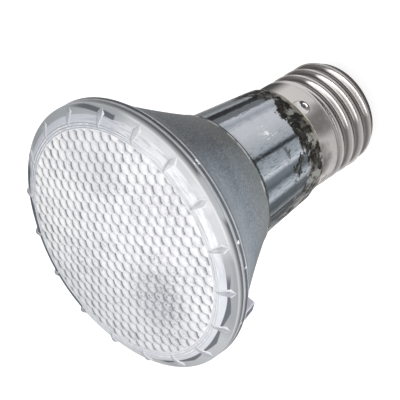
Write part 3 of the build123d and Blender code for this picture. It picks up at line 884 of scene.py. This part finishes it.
def make_reflector(outside, inside):
    """Pressed reflector as a closed skin: a profile turned round the axis, up the outside, down the inside.
    The neck's radius is the soft minimum of the facets and a quarter round from the cap's edge. The foot
    inside the cap follows the crimp dents."""
    columns = 480
    angle = np.linspace(0, 2 * pi, columns, endpoint=False)[None, :]
    foot_radius = cap_radius - cap_wall - foot_gap
    seat = cap_radius + seat_step
    flare = (rim_radius - rim_flare_width, rim_z - rim_flare_drop)
    flank = ((cone_foot_radius + flare[0]) / 2 - cone_sag, (neck_top_z + flare[1]) / 2)
    corner = (cone_foot_radius - cone_foot_round, neck_top_z - cone_foot_round)
    corner_mid = (cone_foot_radius - 0.2 * cone_foot_round, neck_top_z - 0.7 * cone_foot_round)
    base_rows, wall_rows = 3, 13
    low = joined(line_to((pole_radius, foot_z), (foot_radius, foot_z), base_rows),
                 line_to((foot_radius, foot_z), (foot_radius, edge_z), wall_rows),
                 line_to((foot_radius, edge_z), (seat, edge_z), 2))
    neck_z = np.concatenate([edge_z + neck_round * (1 - np.cos(np.linspace(0.1, pi / 2, 8))),
                             np.linspace(edge_z + neck_round, corner[1], 24)[1:]])
    rim_low, rim_face = (rim_radius - 0.02, rim_z - 0.05), (rim_radius, rim_z + 0.08)
    rim_top, rim_lip = (rim_radius, seam_z - 0.06), (rim_radius - 0.06, seam_z)
    high = joined(line_to((corner[0] - 0.3, corner[1]), corner, 3),
                  arc_through(corner, corner_mid, (cone_foot_radius, neck_top_z), 6),
                  arc_through((cone_foot_radius, neck_top_z), flank, flare, 40),
                  line_to(flare, rim_low, 8), line_to(rim_low, rim_face, 2), line_to(rim_face, rim_top, 4),
                  line_to(rim_top, rim_lip, 2), line_to(rim_lip, (bowl_radius, seam_z), 3))
    flat = cos(radians(neck_flat_angle / 2))
    bore_low = min(neck_radius_low * flat, foot_radius) - neck_wall
    bore_high = neck_radius_high * flat - neck_wall
    throat = (cone_foot_radius - bowl_wall, neck_top_z + bowl_wall / 2)
    bowl_mid = ((throat[0] + bowl_radius) / 2, (throat[1] + seam_z) / 2 - cone_sag)
    bore_top, bore_foot = (bore_high, neck_top_z - neck_wall), (bore_low, edge_z + neck_round)
    back = joined(arc_through((bowl_radius, seam_z), bowl_mid, throat, 40), line_to(throat, bore_top, 4),
                  line_to(bore_top, bore_foot, 20), line_to(bore_foot, (bore_low, floor_z), 5),
                  line_to((bore_low, floor_z), (pole_radius, floor_z), 4))

    facet = neck_radius(angle, neck_z[:, None])
    share = np.clip((neck_z - edge_z) / neck_round, 0.0, 1.0)[:, None]
    shoulder = neck_radius_low + 0.4
    rounding = seat + (shoulder - seat) * np.sqrt(1 - (1 - share) ** 2) + 4.0 * (share >= 1.0)
    sharp = 60.0
    facet = -np.logaddexp(-sharp * facet, -sharp * rounding) / sharp
    neck = np.stack([facet, np.broadcast_to(neck_z[:, None], facet.shape)], -1)
    foot = turned(low, columns)
    wall = slice(base_rows - 1, base_rows - 1 + wall_rows)
    foot[wall, :, 0] -= dent_press(angle, low[wall, 1:])
    grid = np.concatenate([foot, neck, turned(high, columns), turned(back[1:], columns)])
    rows = len(grid)
    bottom, top = rows * columns, rows * columns + 1
    points = np.concatenate([spun(grid, angle), [(0.0, 0.0, foot_z), (0.0, 0.0, floor_z)]])
    ring = np.arange(columns)
    ends = [fan(ring, bottom, False), fan((rows - 1) * columns + ring, top, True)]
    piece = add_piece("glass_reflector", points, [round_faces(rows, columns), *ends], [outside, inside],
                      "reflector", 35.0)
    start = (len(low) + len(neck) + len(high) - 1) * columns
    second_finish(piece, slice(start, (rows - 1) * columns), slice(-columns, None))


def make_lug(finish, side_finish):
    """Lug behind the rim: a wedge from the cone to the rim, its section carried across its width, with
    rounded edges."""
    low, high = rim_z - lug_depth, rim_z - 0.02
    root = rim_radius - rim_flare_width - 1.0
    section = np.array([
        (root, low), (rim_radius - lug_reach, low), (rim_radius - lug_skin, high), (root + 2.5, high)])
    turn = radians(lug_angle)
    radial, z = np.tile(section, (2, 1)).T
    aside = np.repeat([-lug_width / 2, lug_width / 2], len(section))
    points = np.stack([
        radial * cos(turn) - aside * sin(turn), radial * sin(turn) + aside * cos(turn), z], -1)
    faces = [(0, 1, 2, 3), (7, 6, 5, 4), (0, 4, 5, 1), (1, 5, 6, 2), (2, 6, 7, 3), (3, 7, 4, 0)]
    piece = add_mesh("rim_lug", points, faces, [finish, side_finish])
    second_finish(piece, slice(0, 2))
    round_off = piece.modifiers.new("soft_edges", "BEVEL")
    round_off.width = 0.35 * MM
    round_off.segments = 3
    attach(piece, "root")


def thread_reach(angle, z):
    """Radius of the cap's outer wall: a circle whose centre winds round the axis, fading at both ends."""
    turn = np.clip((z - thread_z) / thread_pitch, 0.0, thread_turns)
    grow = smooth_step(turn / thread_fade)
    ebb = smooth_step((thread_turns - turn) / thread_fade)
    offset = thread_depth / 2 * np.minimum(grow, ebb)
    mean = cap_radius - thread_depth / 2 * (1 + ebb - grow)
    lag = angle - radians(thread_start_angle) - 2 * pi * turn
    return offset * np.cos(lag) + np.sqrt(mean * mean - (offset * np.sin(lag)) ** 2)


def dent_press(angle, z):
    """How far the crimp dents push the skirt in: four ball caps at the neck's wide flats, with soft edges."""
    pace = 2 * pi / neck_flats
    aside = (np.mod(angle - radians(neck_flat_turn) + pace / 2, pace) - pace / 2) * cap_radius
    away = np.hypot(aside, z - (edge_z - dent_below_edge))
    cap = np.sqrt(np.clip(dent_radius ** 2 - away ** 2, 0.0, None)) - (dent_radius - dent_depth)
    soft = 0.006
    return 0.5 * (cap + np.sqrt(cap * cap + soft))


def make_cap_shell(finish):
    """Cap shell as a closed thin wall: outer skin from the lip up to the edge, inner skin back."""
    columns = 360
    angle = np.linspace(0, 2 * pi, columns, endpoint=False)[None, :]
    root = cap_radius - thread_depth
    lip_mid = (root - 0.3 * (root - lip_radius), lip_z + 0.3 * lip_height)
    lip = arc_through((lip_radius, lip_z), lip_mid, (root, thread_z), 9)[:-1]
    wall_z = np.concatenate([
        np.linspace(thread_z, skirt_z, 113), np.linspace(skirt_z, edge_z - 0.06, 40)[1:], [edge_z]])
    back_z = np.concatenate([np.linspace(edge_z, skirt_z, 30), np.linspace(skirt_z, thread_z, 57)[1:]])

    def wall(z, inset):
        """Skin at some heights: the thread, less the dents on the skirt, less an inset."""
        z = z[:, None]
        reach = thread_reach(angle, z) - dent_press(angle, z) * (z > skirt_z) - inset
        return np.stack([reach, np.broadcast_to(z, reach.shape)], -1)

    inset_lip = turned(lip[::-1] + (-0.6 * cap_wall, 0.8 * cap_wall), columns)
    inset_lip[..., 0] = np.maximum(inset_lip[..., 0], lip_radius)
    outer = wall(wall_z, 0.0)
    outer[-1, :, 0] -= 0.08
    grid = np.concatenate([turned(lip, columns), outer, wall(back_z, cap_wall), inset_lip])
    rows = len(grid)
    ring = np.arange(columns)
    after = np.roll(ring, -1)
    last = (rows - 1) * columns
    seam = np.stack([last + ring, last + after, after, ring], -1)
    add_piece("threaded_cap", spun(grid, angle), [round_faces(rows, columns), seam], [finish],
              "cap_shell", 50.0)


def dress_solids():
    """Finishes for the solids that keep their own meshes."""
    dressed = [
        (plain_metal("old_brass", (0.62, 0.47, 0.24), 0.25, 250.0),
         ["centre_contact", "eyelet_right", "eyelet_left"]),
        (plain_metal("dull_solder", (0.56, 0.56, 0.57), 0.3, 600.0), ["contact_solder", "side_solder"]),
        (plain_metal("drawn_wire", (0.52, 0.51, 0.49), 0.25, 900.0),
         ["contact_wire", "side_wire", "pin_right", "pin_left"]),
        (plain_metal("dark_tungsten", (0.26, 0.26, 0.28), 0.35, 1200.0),
         ["filament", "inner_lead_short", "inner_lead_long"]),
        (plain_metal("sealing_foil", (0.45, 0.45, 0.47), 0.3, 1500.0), ["foil_right", "foil_left"]),
        (black_glass(), ["cap_insulator"]),
        (quartz_finish(), ["capsule_envelope"]),
        (cement_finish(), ["lens_cement"])]
    for finish, names in dressed:
        for name in names:
            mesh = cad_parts[name].data
            mesh.materials.clear()
            mesh.materials.append(finish)


def place_camera():
    """Camera of the picture: tilted from the lamp axis, rolled, set back from the rim's centre and aside."""
    tilt, roll = radians(camera_tilt), radians(camera_roll)
    level = Vector((1, 0, 0))
    rise = Vector((0, cos(tilt), sin(tilt)))
    back = Vector((0, -sin(tilt), cos(tilt)))
    up = rise * cos(roll) + level * sin(roll)
    right = level * cos(roll) - rise * sin(roll)
    lens = bpy.data.cameras.new("picture_camera")
    lens.angle = radians(camera_fov)
    lens.clip_start = 0.01
    camera = bpy.data.objects.new("picture_camera", lens)
    bpy.context.scene.collection.objects.link(camera)
    eye = Vector((0, 0, rim_z)) + back * camera_distance - right * camera_aside[0] - up * camera_aside[1]
    turn = Matrix((right, up, back)).transposed().to_4x4()
    camera.matrix_world = Matrix.Translation(eye * MM) @ turn
    bpy.context.scene.camera = camera


def add_softbox(name, direction, size, power):
    """Area lamp that faces the middle of the object from a direction and isn't seen in gloss."""
    lamp = bpy.data.lights.new(name, "AREA")
    lamp.shape = "RECTANGLE"
    lamp.size, lamp.size_y = size
    lamp.energy = power
    box = bpy.data.objects.new(name, lamp)
    box.visible_glossy = False
    bpy.context.scene.collection.objects.link(box)
    towards = Vector(direction).normalized()
    turn = towards.to_track_quat("Z", "Y").to_matrix().to_4x4()
    box.matrix_world = Matrix.Translation((light_aim + towards * light_distance) * MM) @ turn


def make_floor():
    """Round pale table top under the lamp. It shines for the camera, less through glass and in gloss, and
    so looks white without lighting the object."""
    columns = 96
    angle = np.linspace(0, 2 * pi, columns, endpoint=False)
    ring = np.stack([np.cos(angle), np.sin(angle), 0 * angle], -1) * table_radius
    f = new_finish("pale_table")
    cloud = f.noise(f.place(), 3.0, 3.0)
    seen, through, mirrored = f.rays()
    bright = 0.76 * seen + 0.2 * through + 0.14 * mirrored
    finish = f.finish(f.principled(f.mix(cloud, grey(0.36), grey(0.4)), 1.0, {
        "Specular IOR Level": 0.0, "Emission Color": f.mix(bright, grey(0.0), grey(1.0)),
        "Emission Strength": 1.0}))
    floor = add_mesh("table_top", ring, [list(range(columns))], [finish])


def light_room():
    """White behind the object for the camera and through glass. The light is a soft room, brighter overhead
    and darker on one side, with three softboxes. Gloss shows dark walls, a bright curved panel and a pale
    ceiling."""
    world = bpy.data.worlds.new("studio")
    bpy.context.scene.world = world
    f = Finish(world, "ShaderNodeOutputWorld")
    x, y, z = f.axes(f.node("TexCoord", out="Generated"))
    room = f.mix(z.step(-0.2, 0.9), grey(0.25), grey(0.85))
    room = f.mix(0.6 * x.step(-0.2, 1.0), room, grey(0.12))
    seen, through, mirrored = f.rays()
    swing = bearing(x, y).facing(-74.0).step(0.2, 0.95)
    panel = (z - 0.54).math("ABSOLUTE").fade(0.13 * swing - 0.05, 0.13 * swing + 0.05)
    panel = panel * swing.step(0.02, 0.4)
    wall = f.mix(x.step(-0.85, -0.2) - 0.45 * x.step(0.4, 0.9), grey(0.42), grey(0.06))
    room = f.mix(mirrored, room, f.mix(panel.most(0.45 * z.step(0.84, 0.96)), wall, grey(2.4)))
    colour = f.mix(seen.most(through), room, grey(1.0))
    f.finish(f.node("Background", None, {"Color": colour, "Strength": 1.0}))
    add_softbox("key_softbox", (0.15, -0.75, 0.62), (1.4, 0.45), 4.0)
    add_softbox("side_softbox", (-0.85, -0.5, 0.12), (0.4, 0.6), 5.0)
    add_softbox("top_softbox", (0.25, 0.35, 0.9), (0.5, 0.5), 3.6)


outer_face = reflector_outside()
make_front_lens(lens_finish(), lens_inner_finish())
make_reflector(outer_face, reflector_inside())
make_lug(outer_face, bare_lug_finish())
make_cap_shell(nickel())
dress_solids()
place_camera()
make_floor()
light_room()
bpy.context.scene.view_settings.view_transform = "Standard"
